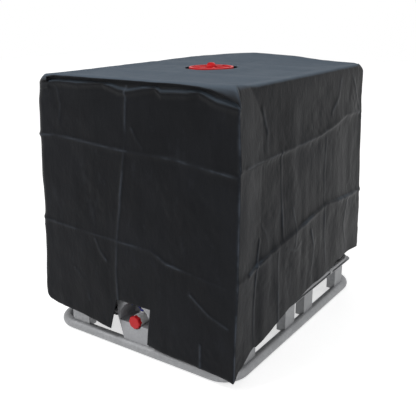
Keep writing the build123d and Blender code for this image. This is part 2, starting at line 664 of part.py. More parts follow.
def valve_lever():
    """Hub on the stem and an arched handle that lies across the flow."""
    low = BONNET_TOP_Z + CHAMBER_CLEARANCE
    root = STEM_TOP_Z - LEVER_THICK
    start = (-LEVER_HUB_R + 3, root)
    crest = (-LEVER_REACH * 0.55, root + LEVER_RISE)
    tip = (-LEVER_REACH, root + LEVER_RISE * 0.55)
    lower = ThreePointArc(start, crest, tip)
    end = Line(tip, (tip[0], tip[1] + LEVER_THICK))
    upper = ThreePointArc((tip[0], tip[1] + LEVER_THICK), (crest[0], crest[1] + LEVER_THICK),
                          (start[0], start[1] + LEVER_THICK))
    close = Line((start[0], start[1] + LEVER_THICK), start)
    outline = make_face([lower, end, upper, close])
    plane = Plane(origin=(0, BALL_Y, 0), x_dir=(1, 0, 0), z_dir=(0, -1, 0))
    handle = extrude(plane * outline, LEVER_WIDTH / 2, both=True)
    lever = rod((0, BALL_Y, low), (0, BALL_Y, STEM_TOP_Z), LEVER_HUB_R) + handle
    return [lever - rod((0, BALL_Y, low), (0, BALL_Y, STEM_TOP_Z + LEVER_RISE), STEM_R + RUNNING_FIT)]


def lever_screw():
    """Screw and washer head that hold the lever on the stem."""
    head = rod((0, BALL_Y, STEM_TOP_Z), (0, BALL_Y, STEM_TOP_Z + LEVER_SCREW_HEAD), LEVER_SCREW_HEAD_R)
    shank = rod((0, BALL_Y, STEM_TOP_Z - LEVER_SCREW_LENGTH + 1), (0, BALL_Y, STEM_TOP_Z), LEVER_SCREW_R)
    washer = rod((0, BALL_Y, STEM_TOP_Z), (0, BALL_Y, STEM_TOP_Z + 1), LEVER_HUB_R - 3)
    return [head + shank + washer]


def valve_union_nut():
    """Ribbed nut that draws the valve flange onto the bottle's outlet neck."""
    near = inlet_flange_y()[0]
    nut = disc_y(near - UNION_LIP, near - UNION_LIP + UNION_NUT_LENGTH, UNION_NUT_R)
    nut -= disc_y(near - UNION_LIP, near, VALVE_BODY_R + CHAMBER_CLEARANCE)
    nut -= disc_y(near, near + UNION_NUT_LENGTH, INLET_FLANGE_R + CHAMBER_CLEARANCE)
    for i in range(UNION_RIBS):
        angle = i * 2 * math.pi / UNION_RIBS
        x = UNION_NUT_R * math.cos(angle)
        z = VALVE_Z + UNION_NUT_R * math.sin(angle)
        nut += rod((x, near - UNION_LIP + 4, z), (x, near - UNION_LIP + UNION_NUT_LENGTH, z), 2.5)
    return [nut]


def valve_inlet_gasket():
    near, far = inlet_gasket_y()
    return [ring_y(near, far, INLET_FLANGE_R, OUTLET_NECK_BORE_R)]


def outlet_gasket_y():
    return NOZZLE_END_Y - OUTLET_GASKET_THICK, NOZZLE_END_Y


def outlet_cap_gasket():
    near, far = outlet_gasket_y()
    return [ring_y(near, far, NOZZLE_R, VALVE_BORE_R)]


def outlet_cap():
    """Dust cap screwed over the nozzle, with grip ribs round its rim."""
    inside = outlet_gasket_y()[0]
    face = inside - OUTLET_CAP_FACE
    back = face + OUTLET_CAP_DEPTH
    rib_r = OUTLET_CAP_R * 0.1
    cap = disc_y(face, back, OUTLET_CAP_R - rib_r)
    cap = fillet(cap.edges().group_by(Axis.Y)[0], OUTLET_CAP_FACE / 2)
    for i in range(OUTLET_CAP_RIBS):
        angle = i * 2 * math.pi / OUTLET_CAP_RIBS
        x = (OUTLET_CAP_R - 3 * rib_r) * math.cos(angle)
        z = VALVE_Z + (OUTLET_CAP_R - 3 * rib_r) * math.sin(angle)
        cap += rod((x, face + OUTLET_CAP_FACE / 2, z), (x, back, z), 3 * rib_r)
    cap -= disc_y(inside, back, NOZZLE_R + THREAD_CLEARANCE)
    return [cap]


# --------------------------------------------------- valve guard and recess
def arch_face(grow):
    """Outline of the guard's opening: half an ellipse and a round scallop."""
    ellipse = Pos(0, ARCH_SILL_Z) * Ellipse(ARCH_HALF_WIDTH + grow, ARCH_HEIGHT + grow)
    below = Pos(0, ARCH_SILL_Z - grow - ARCH_HEIGHT) * Rectangle(4 * ARCH_HALF_WIDTH, 2 * ARCH_HEIGHT)
    scallop = Pos(0, VALVE_Z) * Circle(SCALLOP_R + grow)
    return (ellipse - below) + scallop


def arch_block(grow, near_y, far_y):
    """The arch outline as a block from one Y to another."""
    plane = Plane(origin=(0, far_y, 0), x_dir=(1, 0, 0), z_dir=(0, -1, 0))
    return extrude(plane * arch_face(grow), far_y - near_y)


def valve_guard():
    """Front centre foot: tapered plate with the arched opening and two flanges."""
    top = GUARD_TOP_WIDTH / 2
    bottom = GUARD_FOOT_WIDTH / 2
    low = BASE_TUBE_Z + BASE_TUBE_R / 2
    outline = Polygon((-bottom, low), (bottom, low), (top, GUARD_SHOULDER_Z), (top, GUARD_TOP_Z),
                      (-top, GUARD_TOP_Z), (-top, GUARD_SHOULDER_Z), align=None)
    plane = Plane(origin=(0, GUARD_BACK_Y, 0), x_dir=(1, 0, 0), z_dir=(0, -1, 0))
    guard = extrude(plane * outline, GUARD_SHEET)
    for side in (-1, 1):
        ends = sorted((side * top, side * (top - GUARD_SHEET)))
        guard += box((ends[0], GUARD_BACK_Y, GUARD_SHOULDER_Z), (ends[1], GUARD_BACK_Y + GUARD_FLANGE, GUARD_TOP_Z))
    guard -= arch_block(0, GUARD_FACE_Y - 1, GUARD_BACK_Y + 1)
    return [guard - base_tube_core(True, -1)]


def valve_recess_pan():
    """Arched sheet recess behind the guard, open to the front, round the valve."""
    pan = arch_block(PAN_SHEET, GUARD_BACK_Y, PAN_BACK_Y + PAN_SHEET)
    pan -= arch_block(0, GUARD_BACK_Y - 1, PAN_BACK_Y)
    return [pan - disc_y(PAN_BACK_Y, PAN_BACK_Y + PAN_SHEET, VALVE_BODY_R + PAN_HOLE_FIT)]


# ------------------------------------------------------------------- cover
def cover_top():
    """Top panel with the round hole for the lid."""
    x = COVER_X + COVER_FILM
    y = COVER_Y + COVER_FILM
    panel = box((-x, -y, COVER_UNDER_Z), (x, y, COVER_UNDER_Z + COVER_FILM))
    return [panel - rod((0, 0, COVER_UNDER_Z), (0, 0, COVER_UNDER_Z + COVER_FILM), COVER_HOLE_R)]


def cover_end_panel(side):
    """Front (-1) or back (+1) panel."""
    x = COVER_X + COVER_FILM
    ends = sorted((side * COVER_Y, side * (COVER_Y + COVER_FILM)))
    return box((-x, ends[0], COVER_HEM_Z), (x, ends[1], COVER_UNDER_Z))


def cover_front():
    """Front panel with the notch in its hem for the valve."""
    half = NOTCH_WIDTH / 2
    notch = box((-half, -PALLET_DEPTH, 0), (half, 0, NOTCH_TOP_Z))
    return [cover_end_panel(-1) - notch]


def cover_back():
    return [cover_end_panel(1)]


def cover_side(side):
    """Left (-1) or right (+1) panel."""
    ends = sorted((side * COVER_X, side * (COVER_X + COVER_FILM)))
    return [box((ends[0], -COVER_Y, COVER_SIDE_HEM_Z), (ends[1], COVER_Y, COVER_UNDER_Z))]


def cover_corner_folds():
    """Spare film gathered into a fold that stands out at each corner."""
    x = COVER_X + COVER_FILM
    y = COVER_Y + COVER_FILM
    height = COVER_UNDER_Z - CORNER_FOLD_TOP_DROP - CORNER_FOLD_HEM_Z
    folds = []
    for sx in (-1, 1):
        for sy in (-1, 1):
            outline = Polygon((sx * (x - CORNER_FOLD_ROOT), sy * y),
                              (sx * (x + CORNER_FOLD_REACH), sy * (y + CORNER_FOLD_REACH)),
                              (sx * x, sy * (y - CORNER_FOLD_ROOT)), (sx * x, sy * y), align=None)
            folds.append(extrude(Pos(0, 0, CORNER_FOLD_HEM_Z) * outline, height, dir=(0, 0, 1)))
    return folds


# ---------------------------------------------------------------- assembly
NODES = {
    "base_rails": base_rails(),
    "base_corners": base_corners(),
    "front_feet": front_feet(),
    "back_feet": back_feet(),
    "left_feet": side_feet(-1),
    "right_feet": side_feet(1),
    "deck_panel": deck_panel(),
    "deck_beams": deck_beams(),
    "cage_front_rails": cage_end_rails(-1),
    "cage_back_rails": cage_end_rails(1),
    "cage_left_rails": cage_side_rails(-1),
    "cage_right_rails": cage_side_rails(1),
    "cage_corner_bends": cage_corner_bends(),
    "cage_front_uprights": cage_end_uprights(-1),
    "cage_back_uprights": cage_end_uprights(1),
    "cage_left_uprights": cage_side_uprights(-1),
    "cage_right_uprights": cage_side_uprights(1),
    "cage_clips": cage_clips(),
    "cage_clip_bolts": cage_clip_bolts(),
    "cage_clip_nuts": cage_clip_nuts(),
    "top_bar_front": top_bar(-TOP_BAR_Y),
    "top_bar_back": top_bar(TOP_BAR_Y),
    "top_bar_bolts": top_bar_bolts(),
    "label_plate_front": label_plate(-1, FRONT_LABEL_HOOP),
    "label_plate_back": label_plate(1, BACK_LABEL_HOOP),
    "tank_bottle": tank_bottle(),
    "fill_cap_gasket": fill_cap_gasket(),
    "fill_cap": fill_cap(),
    "vent_plug_gasket": vent_plug_gasket(),
    "vent_plug": vent_plug(),
    "valve_body": valve_body(),
    "valve_outlet_adapter": valve_outlet_adapter(),
    "valve_ball": valve_ball(),
    "valve_seats": valve_seats(),
    "valve_stem": valve_stem(),
    "stem_o_rings": stem_o_rings(),
    "valve_lever": valve_lever(),
    "lever_screw": lever_screw(),
    "valve_union_nut": valve_union_nut(),
    "valve_inlet_gasket": valve_inlet_gasket(),
    "outlet_cap_gasket": outlet_cap_gasket(),
    "outlet_cap": outlet_cap(),
    "valve_guard": valve_guard(),
    "valve_recess_pan": valve_recess_pan(),
    "cover_top": cover_top(),
    "cover_front": cover_front(),
    "cover_back": cover_back(),
    "cover_left": cover_side(-1),
    "cover_right": cover_side(1),
    "cover_corner_folds": cover_corner_folds(),
}

os.makedirs("parts", exist_ok=True)
for name, shapes in NODES.items():
    solids = [solid for shape in shapes for solid in shape.solids()]
    export_step(Compound(children=solids) if len(solids) > 1 else solids[0], f"parts/{name}.step")
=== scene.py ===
"""Looks of a caged 1000 litre tote on a tubular steel pallet, under a loose black cover. Metres, Z up."""

import json
import math

import bpy
import numpy as np
from mathutils import Matrix, Vector


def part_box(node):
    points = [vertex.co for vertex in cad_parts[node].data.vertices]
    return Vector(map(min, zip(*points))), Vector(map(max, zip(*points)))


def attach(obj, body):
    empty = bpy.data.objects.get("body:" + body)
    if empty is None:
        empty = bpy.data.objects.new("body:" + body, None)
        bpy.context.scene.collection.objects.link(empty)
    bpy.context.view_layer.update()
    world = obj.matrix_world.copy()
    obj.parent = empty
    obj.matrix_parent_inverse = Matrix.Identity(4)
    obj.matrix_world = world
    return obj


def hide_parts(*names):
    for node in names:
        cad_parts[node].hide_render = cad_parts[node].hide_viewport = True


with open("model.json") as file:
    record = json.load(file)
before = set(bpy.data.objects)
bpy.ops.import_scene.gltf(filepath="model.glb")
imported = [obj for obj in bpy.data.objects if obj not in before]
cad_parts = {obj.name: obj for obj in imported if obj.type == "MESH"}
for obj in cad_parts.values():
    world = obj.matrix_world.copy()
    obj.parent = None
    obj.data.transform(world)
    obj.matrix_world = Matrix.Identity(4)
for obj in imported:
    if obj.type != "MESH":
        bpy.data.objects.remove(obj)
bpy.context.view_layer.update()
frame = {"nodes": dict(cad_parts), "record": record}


# ---------------------------------------------------------------- camera, stage and light

CAMERA_AT = Vector((1.601, -2.347, 1.403))
CAMERA_YAW, CAMERA_PITCH, CAMERA_ROLL = math.radians(34.72), math.radians(17.78), math.radians(-0.54)
CAMERA_LENS = 53.9
SENSOR_WIDTH = 36


def make_camera():
    """Looks along yaw (turned towards -X) and pitch (down), then rolls about the line of sight."""
    ahead = Vector(
        (
            -math.sin(CAMERA_YAW) * math.cos(CAMERA_PITCH),
            math.cos(CAMERA_YAW) * math.cos(CAMERA_PITCH),
            -math.sin(CAMERA_PITCH),
        )
    )
    level = ahead.cross(Vector((0, 0, 1))).normalized()
    upward = level.cross(ahead)
    turn, lean = math.cos(CAMERA_ROLL), math.sin(CAMERA_ROLL)
    right, up = level * turn + upward * lean, upward * turn - level * lean
    data = bpy.data.cameras.new("camera")
    data.lens, data.sensor_width = CAMERA_LENS, SENSOR_WIDTH
    data.clip_start, data.clip_end = 0.05, 100
    camera = bpy.data.objects.new("camera", data)
    bpy.context.scene.collection.objects.link(camera)
    camera.matrix_world = Matrix.Translation(CAMERA_AT) @ Matrix((right, up, -ahead)).transposed().to_4x4()
    bpy.context.scene.camera = camera


def add_object(name, mesh):
    obj = bpy.data.objects.new(name, mesh)
    bpy.context.scene.collection.objects.link(obj)
    return obj


def area_light(name, at, target, size, power):
    data = bpy.data.lights.new(name, "AREA")
    data.shape, data.size, data.energy = "SQUARE", size, power
    lamp = bpy.data.objects.new(name, data)
    bpy.context.scene.collection.objects.link(lamp)
    lamp.location = at
    lamp.rotation_euler = (Vector(target) - Vector(at)).to_track_quat("-Z", "Y").to_euler()
    lamp.visible_camera = False


WORLD_LEVEL = 0.60
FLOOR_GREY = 0.8
FLOOR_LIFT = 0.60
FLOOR_HALF = 14.0
FLOOR_GAP = 0.0005


def seen_directly(tree):
    """1 for rays that show the background itself: camera, glossy and transmission rays."""
    path = tree.nodes.new("ShaderNodeLightPath")
    total = None
    for ray in ("Is Camera Ray", "Is Glossy Ray", "Is Transmission Ray"):
        if total is None:
            total = path.outputs[ray]
            continue
        both = tree.nodes.new("ShaderNodeMath")
        both.operation = "MAXIMUM"
        tree.links.new(total, both.inputs[0])
        tree.links.new(path.outputs[ray], both.inputs[1])
        total = both.outputs[0]
    return total


def make_stage():
    world = bpy.data.worlds.new("studio")
    bpy.context.scene.world = world
    world.use_nodes = True
    tree = world.node_tree
    background = tree.nodes["Background"]
    background.inputs["Color"].default_value = (1, 1, 1, 1)
    level = tree.nodes.new("ShaderNodeMapRange")
    level.inputs["To Min"].default_value, level.inputs["To Max"].default_value = WORLD_LEVEL, 1.0
    tree.links.new(seen_directly(tree), level.inputs["Value"])
    tree.links.new(level.outputs[0], background.inputs["Strength"])

    mesh = bpy.data.meshes.new("floor")
    corners = [(x * FLOOR_HALF, y * FLOOR_HALF, 0) for x, y in ((-1, -1), (1, -1), (1, 1), (-1, 1))]
    mesh.from_pydata(corners, [], [(0, 1, 2, 3)])
    floor = add_object("floor", mesh)
    floor.location.z = -FLOOR_GAP
    material = bpy.data.materials.new("pale_floor")
    material.use_nodes = True
    tree = material.node_tree
    shader = tree.nodes["Principled BSDF"]
    shader.inputs["Base Color"].default_value = (FLOOR_GREY, FLOOR_GREY, FLOOR_GREY, 1)
    shader.inputs["Roughness"].default_value = 0.9
    shader.inputs["Specular IOR Level"].default_value = 0.1
    shader.inputs["Emission Color"].default_value = (1, 1, 1, 1)
    lift = tree.nodes.new("ShaderNodeMath")
    lift.operation = "MULTIPLY"
    lift.inputs[1].default_value = FLOOR_LIFT
    tree.links.new(seen_directly(tree), lift.inputs[0])
    tree.links.new(lift.outputs[0], shader.inputs["Emission Strength"])
    mesh.materials.append(material)

    area_light("key", (-2.2, -3.4, 3.0), (0, 0, 0.6), 2.0, 34)
    area_light("overhead", (0.4, -0.4, 4.2), (0, 0, 0.6), 2.6, 20)
    area_light("front_glint", (-0.6, -2.6, 4.4), (0, -0.6, 0.7), 0.45, 42)
    area_light("right_glint", (3.4, -0.6, 4.4), (0.5, -0.1, 0.8), 0.45, 9)


# ---------------------------------------------------------------- materials


class Look:
    """A procedural material on object coordinates: colour, roughness and bump from noise at real scales."""

    def __init__(self, name, metallic=0.0, **sockets):
        self.material = bpy.data.materials.new(name)
        self.material.use_nodes = True
        self.tree = self.material.node_tree
        self.shader = self.tree.nodes["Principled BSDF"]
        self.shader.inputs["Metallic"].default_value = metallic
        for socket, value in sockets.items():
            self.shader.inputs[socket.replace("_", " ")].default_value = value
        self.place = self.tree.nodes.new("ShaderNodeTexCoord").outputs["Object"]
        self.height = None

    def node(self, kind, **inputs):
        made = self.tree.nodes.new(kind)
        for socket, value in inputs.items():
            target = made.inputs[socket.replace("_", " ")]
            if isinstance(value, bpy.types.NodeSocket):
                self.tree.links.new(value, target)
            else:
                target.default_value = value
        return made

    def stretched(self, scale):
        mapping = self.node("ShaderNodeMapping", Vector=self.place)
        mapping.inputs["Scale"].default_value = scale
        return mapping.outputs["Vector"]

    def noise(self, per_metre, detail=3.0, rough=0.55, stretch=(1, 1, 1)):
        where = self.stretched(stretch)
        made = self.node("ShaderNodeTexNoise", Vector=where, Scale=per_metre, Detail=detail, Roughness=rough)
        return made.outputs[0]

    def cells(self, per_metre):
        return self.node("ShaderNodeTexVoronoi", Vector=self.place, Scale=per_metre).outputs["Color"]

    def grey(self, colour):
        return self.node("ShaderNodeRGBToBW", Color=colour).outputs[0]

    def scaled(self, value, low, high, new_low, new_high, smooth=False):
        made = self.node("ShaderNodeMapRange", Value=value)
        if smooth:
            made.interpolation_type = "SMOOTHSTEP"
        ends = {"From Min": low, "From Max": high, "To Min": new_low, "To Max": new_high}
        for socket, number in ends.items():
            made.inputs[socket].default_value = number
        return made.outputs[0]

    def maths(self, operation, a, b):
        made = self.tree.nodes.new("ShaderNodeMath")
        made.operation = operation
        for socket, value in zip(made.inputs, (a, b)):
            if isinstance(value, bpy.types.NodeSocket):
                self.tree.links.new(value, socket)
            else:
                socket.default_value = value
        return made.outputs[0]

    def mix(self, factor, first, second):
        made = self.tree.nodes.new("ShaderNodeMix")
        made.data_type = "RGBA"
        for socket, value in ((made.inputs[0], factor), (made.inputs[6], first), (made.inputs[7], second)):
            if isinstance(value, bpy.types.NodeSocket):
                self.tree.links.new(value, socket)
            else:
                socket.default_value = (*value, 1) if isinstance(value, tuple) else value
        return made.outputs[2]

    def colour(self, value):
        self.tree.links.new(value, self.shader.inputs["Base Color"])

    def roughness(self, value):
        self.tree.links.new(value, self.shader.inputs["Roughness"])

    def bump(self, height, metres, strength=1.0):
        made = self.node("ShaderNodeBump", Height=height, Strength=strength, Distance=metres)
        if self.height is not None:
            self.tree.links.new(self.height, made.inputs["Normal"])
        self.height = made.outputs[0]
        self.tree.links.new(self.height, self.shader.inputs["Normal"])


def galvanised(name, light, dark, spangle_per_metre, rough, metallic):
    """Hot-dip zinc: crystal spangle, dull clouded patches and a few darker handling marks."""
    look = Look(name, metallic=metallic)
    spangle = look.grey(look.cells(spangle_per_metre))
    cloud = look.noise(7, 4, 0.6)
    base = look.mix(look.scaled(spangle, 0.15, 0.85, 0, 1), dark, light)
    dull = tuple(0.5 * (a + b) * 0.9 for a, b in zip(light, dark))
    base = look.mix(look.scaled(cloud, 0.42, 0.66, 0, 0.65, True), base, dull)
    scuffs = look.noise(38, 5, 0.7, (1, 1, 0.35))
    base = look.mix(look.scaled(scuffs, 0.64, 0.74, 0, 0.35), base, tuple(c * 0.55 for c in dark))
    look.colour(base)
    by_crystal = look.scaled(spangle, 0, 1, -0.06, 0.06)
    by_cloud = look.scaled(cloud, 0.3, 0.7, rough - 0.05, rough + 0.09)
    look.roughness(look.maths("ADD", by_crystal, by_cloud))
    look.bump(look.noise(160, 3, 0.6), 0.00025)
    look.bump(look.noise(18, 2, 0.5), 0.0012, 0.5)
    return look.material


def moulded(name, colour, rough, grain_per_metre=900, grain=0.00008, **sockets):
    """Injection-moulded plastic: fine spark grain, slight colour drift and handling polish."""
    look = Look(name, **sockets)
    drift = look.noise(14, 3)
    paler_mask = look.noise(55, 5, 0.7)
    paler = tuple(min(1.0, c * 1.18 + 0.012) for c in colour)
    darker = tuple(c * 0.86 for c in colour)
    base = look.mix(look.scaled(drift, 0.35, 0.65, 0, 1, True), darker, colour)
    look.colour(look.mix(look.scaled(paler_mask, 0.6, 0.75, 0, 0.5), base, paler))
    look.roughness(look.scaled(paler_mask, 0.3, 0.7, rough - 0.05, rough + 0.1))
    look.bump(look.noise(grain_per_metre, 2), grain)
    look.bump(look.noise(25, 2), 0.0006, 0.4)
    return look.material


def brushed(name, colour, rough, stretch):
    """Turned or rolled metal with fine drawn lines along one way."""
    look = Look(name, metallic=0.9)
    lines = look.noise(700, 3, 0.6, stretch)
    cloud = look.noise(20, 3)
    base = look.mix(look.scaled(lines, 0.3, 0.7, 0, 1), tuple(c * 0.82 for c in colour), colour)
    look.colour(look.mix(look.scaled(cloud, 0.45, 0.7, 0, 0.5), base, tuple(c * 0.9 for c in colour)))
    look.roughness(look.scaled(lines, 0.25, 0.75, rough - 0.06, rough + 0.1))
    look.bump(lines, 0.00005)
    return look.material


def bottle_plastic():
    """Blow-moulded natural polyethylene: milky, faintly mottled, with soft orange peel."""
    look = Look("bottle_plastic", Subsurface_Weight=0.25, Subsurface_Scale=0.02, Specular_IOR_Level=0.4)
    look.shader.inputs["Subsurface Radius"].default_value = (1.0, 0.9, 0.75)
    mottle = look.noise(9, 4, 0.55)
    flow = look.noise(5, 3, 0.5, (1, 1, 0.25))
    base = look.mix(look.scaled(mottle, 0.35, 0.65, 0, 1, True), (0.74, 0.75, 0.71), (0.86, 0.87, 0.84))
    look.colour(look.mix(look.scaled(flow, 0.5, 0.7, 0, 0.4), base, (0.80, 0.79, 0.72)))
    look.roughness(look.scaled(mottle, 0.3, 0.7, 0.34, 0.5))
    look.bump(look.noise(120, 3), 0.0004, 0.6)
    look.bump(flow, 0.004, 0.5)
    return look.material


def rubber():
    look = Look("rubber_seal", Specular_IOR_Level=0.3)
    bloom = look.noise(60, 4, 0.6)
    pale = look.scaled(bloom, 0.4, 0.7, 0, 1, True)
    look.colour(look.mix(pale, (0.022, 0.022, 0.022), (0.055, 0.054, 0.052)))
    look.roughness(look.scaled(bloom, 0.3, 0.7, 0.62, 0.8))
    look.bump(look.noise(1200, 2), 0.00008)
    return look.material


WAVE_SCALE = 75
# Fold crests get a paler blue-grey colour through a mesh attribute: a painted highlight standing in for the
# light the folds catch, with some rubbing.
FOLD_LIGHT_ATTRIBUTE = "painted_fold_highlight"
FILM_FOLD_HIGHLIGHT_AND_RUB = (0.085, 0.10, 0.125)
FILM_BLACK = (0.0058, 0.0064, 0.0080)
FILM_WORN = (0.0125, 0.0138, 0.0170)
# Painted sheen with some dust: this paler blue-grey goes on upward faces of the film, standing in for the
# reflection the top catches.
FILM_TOP_SHEEN_AND_DUST = (0.072, 0.092, 0.116)


def cover_film():
    """Coated black polyester: plain weave under a satin film, with paler patches of wear and small dents;
    paler fold crests are a painted highlight with some rubbing, and paler upward faces a painted sheen with
    some dust.
    """
    look = Look("cover_film", Specular_IOR_Level=0.075)
    patches = look.noise(3.2, 5, 0.6)
    pale_marks = look.noise(16, 5, 0.65, (1, 1, 0.45))
    faded = tuple(c * 1.35 for c in FILM_BLACK)
    base = look.mix(look.scaled(patches, 0.38, 0.64, 0, 1, True), FILM_BLACK, faded)
    base = look.mix(look.scaled(pale_marks, 0.56, 0.74, 0, 0.7, True), base, FILM_WORN)
    # Painted highlight along the fold crests, mixed in patchily, with some rubbing.
    fold = look.node("ShaderNodeAttribute")
    fold.attribute_name = FOLD_LIGHT_ATTRIBUTE
    patchy = look.scaled(look.noise(11, 3), 0.36, 0.62, 0.15, 0.85, True)
    base = look.mix(look.maths("MULTIPLY", fold.outputs["Fac"], patchy), base, FILM_FOLD_HIGHLIGHT_AND_RUB)
    # Painted sheen with some dust: faces pointing upward turn paler blue-grey for the reflection on the top;
    # the same mask makes them rougher.
    facing = look.node("ShaderNodeNewGeometry").outputs["Normal"]
    upward = look.node("ShaderNodeSeparateXYZ", Vector=facing).outputs["Z"]
    top_sheen_and_dust = look.scaled(upward, 0.35, 0.95, 0, 1, True)
    look.colour(look.mix(top_sheen_and_dust, base, FILM_TOP_SHEEN_AND_DUST))
    by_rubbing = look.scaled(pale_marks, 0.3, 0.7, -0.05, 0.06)
    satin = look.maths("ADD", by_rubbing, look.scaled(patches, 0.3, 0.7, 0.36, 0.46))
    look.roughness(look.maths("ADD", satin, look.scaled(top_sheen_and_dust, 0, 1, 0, 0.34)))
    threads = None
    for axis in ("X", "Y", "Z"):
        wave = look.node("ShaderNodeTexWave", Vector=look.place, Scale=WAVE_SCALE)
        wave.wave_type, wave.bands_direction, wave.wave_profile = "BANDS", axis, "SIN"
        lines = wave.outputs["Fac"]
        threads = lines if threads is None else look.maths("MULTIPLY", threads, lines)
    look.bump(threads, 0.00004, 0.6)
    look.bump(look.noise(95, 4, 0.6), 0.0007, 0.55)
    look.bump(look.noise(28, 4, 0.62, (1, 1, 0.5)), 0.0035, 0.6)
    return look.material


RING_LIGHT, RING_DARK = (0.35, 0.355, 0.365), (0.275, 0.28, 0.29)
SHEET_LIGHT, SHEET_DARK = (0.36, 0.365, 0.38), (0.305, 0.31, 0.325)


def make_materials():
    made = {
        "galvanised_steel": galvanised("galvanised_steel", RING_LIGHT, RING_DARK, 85, 0.48, 0.55),
        "guard_sheet": galvanised("guard_sheet", SHEET_LIGHT, SHEET_DARK, 150, 0.46, 0.4),
        "label_plate": brushed("label_plate", (0.68, 0.69, 0.70), 0.36, (0.02, 1, 1)),
        "zinc_fasteners": brushed("zinc_fasteners", (0.70, 0.70, 0.64), 0.34, (1, 1, 1)),
        "steel_stem": brushed("steel_stem", (0.58, 0.58, 0.58), 0.3, (1, 1, 0.05)),
        "bottle_plastic": bottle_plastic(),
        "valve_white": moulded("valve_white", (0.80, 0.80, 0.79), 0.42),
        "valve_black": moulded("valve_black", (0.035, 0.035, 0.038), 0.45),
        "seat_plastic": moulded("seat_plastic", (0.85, 0.85, 0.83), 0.5),
        "ball_plastic": moulded("ball_plastic", (0.78, 0.78, 0.77), 0.22, 400, 0.00003),
        "red_plastic": moulded("red_plastic", (0.58, 0.013, 0.018), 0.42, Specular_IOR_Level=0.3),
        "blue_plastic": moulded("blue_plastic", (0.014, 0.018, 0.26), 0.42, Specular_IOR_Level=0.3),
        "rubber_seal": rubber(),
        "cover_film": cover_film(),
    }
    slots = {row["node"]: row["material_slot"] for row in frame["record"]["subparts"]}
    for node, obj in frame["nodes"].items():
        for place in obj.material_slots:
            place.material = made[slots[node]]
    return made


# ---------------------------------------------------------------- small numeric helpers


def lattice(ix, iy, seed):
    """A repeatable number from 0 to 1 for each whole-number place."""
    h = (ix.astype(np.uint32) * np.uint32(374761393)) ^ (iy.astype(np.uint32) * np.uint32(668265263))
    h = (h ^ np.uint32(seed * 2246822519 % 2**32)) * np.uint32(3266489917)
    h = (h ^ (h >> np.uint32(15))) * np.uint32(2654435761)
    h = h ^ (h >> np.uint32(13))
    return h.astype(np.float64) / 2**32


def noise(u, v, seed, wrap=None):
    """Smooth value noise from -1 to 1. wrap makes it repeat in u after that whole number."""
    iu, iv = np.floor(u).astype(np.int64), np.floor(v).astype(np.int64)
    fu, fv = u - iu, v - iv
    fu, fv = fu * fu * (3 - 2 * fu), fv * fv * (3 - 2 * fv)
    far = iu + 1
    if wrap:
        iu, far = iu % wrap, far % wrap
    low = lattice(iu, iv, seed) * (1 - fu) + lattice(far, iv, seed) * fu
    high = lattice(iu, iv + 1, seed) * (1 - fu) + lattice(far, iv + 1, seed) * fu
    return 2 * (low * (1 - fv) + high * fv) - 1


def smooth(value, low, high):
    t = np.clip((value - low) / (high - low), 0, 1)
    return t * t * (3 - 2 * t)


def hump(value, middle, half):
    """1 at the middle, falling smoothly to 0 at half on both sides."""
    t = np.clip(1 - np.abs(value - middle) / half, 0, 1)
    return t * t * (3 - 2 * t)


# ---------------------------------------------------------------- the cover

HALF_X, HALF_Y, TOP_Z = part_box("cover_top")[1]
HOLE_R = 0.118
COLUMN = 0.005
COLUMNS_X = round(2 * HALF_X / COLUMN)
COLUMNS_Y = round(2 * HALF_Y / COLUMN)
TOP_ROWS, RIM_ROWS, WALL_ROWS, HEM_ROWS = 64, 12, 150, 26
RIM_START = 0.018
NOTCH_Z = 0.242
NOTCH_LEFT, NOTCH_RIGHT = -0.066, 0.105
NOTCH_LEFT_SLANT, NOTCH_RIGHT_SLANT = -0.050, -0.022
FRONT, RIGHT, BACK, LEFT = 0, 1, 2, 3
FILM_THICK = 0.0008


def columns():
    """Each column's side, and how far along that side it is, as a share from the side's start."""
    side, share = [], []
    for which, count in ((FRONT, COLUMNS_X), (RIGHT, COLUMNS_Y), (BACK, COLUMNS_X), (LEFT, COLUMNS_Y)):
        side += [which] * count
        share += [i / count for i in range(count)]
    return np.array(side), np.array(share)


SIDE, SHARE = columns()
LENGTH = np.where(SIDE % 2 == 0, 2 * HALF_X, 2 * HALF_Y)
ALONG = (SHARE - 0.5) * LENGTH
STARTS = np.array([0, 2 * HALF_X, 2 * HALF_X + 2 * HALF_Y, 4 * HALF_X + 2 * HALF_Y])
GIRTH = 4 * (HALF_X + HALF_Y)
ROUND_AT = STARTS[SIDE] + SHARE * LENGTH
NEAR_CORNER = 2 * HALF_X
TANGENT = np.array([(1, 0), (0, 1), (-1, 0), (0, -1)])[SIDE]
NORMAL = np.array([(0, -1), (1, 0), (0, 1), (-1, 0)])[SIDE]


def outline(grow, start_r, end_r):
    """Places on a rounded rectangle that is grow larger than the cover all round.

    start_r and end_r are the corner radii at the start and the end of each column's side.
    All are (rows, columns).
    """
    wide = LENGTH + 2 * grow
    deep = np.where(SIDE % 2 == 0, HALF_Y, HALF_X) + grow
    tau = (SHARE - 0.5) * wide
    from_start, to_end = SHARE * wide, (1 - SHARE) * wide
    lean_start = np.clip(1 - from_start / start_r, 0, None) * math.pi / 4
    lean_end = np.clip(1 - to_end / end_r, 0, None) * math.pi / 4
    lean = lean_end - lean_start
    r = np.where(lean > 0, end_r, start_r)
    bent = lean != 0
    tau_arc = np.sign(lean) * (wide / 2 - r) + r * np.sin(lean)
    deep_arc = deep - r + r * np.cos(lean)
    tau, deep = np.where(bent, tau_arc, tau), np.where(bent, deep_arc, deep)
    x = tau * TANGENT[:, 0] + deep * NORMAL[:, 0]
    y = tau * TANGENT[:, 1] + deep * NORMAL[:, 1]
    return x, y


# Half width of the painted highlight strip along each fold crest.
FOLD_HIGHLIGHT_HALF = 0.0065
FOLD_BREAKS = 0.5
FOLD_SHARPNESS = 1.6


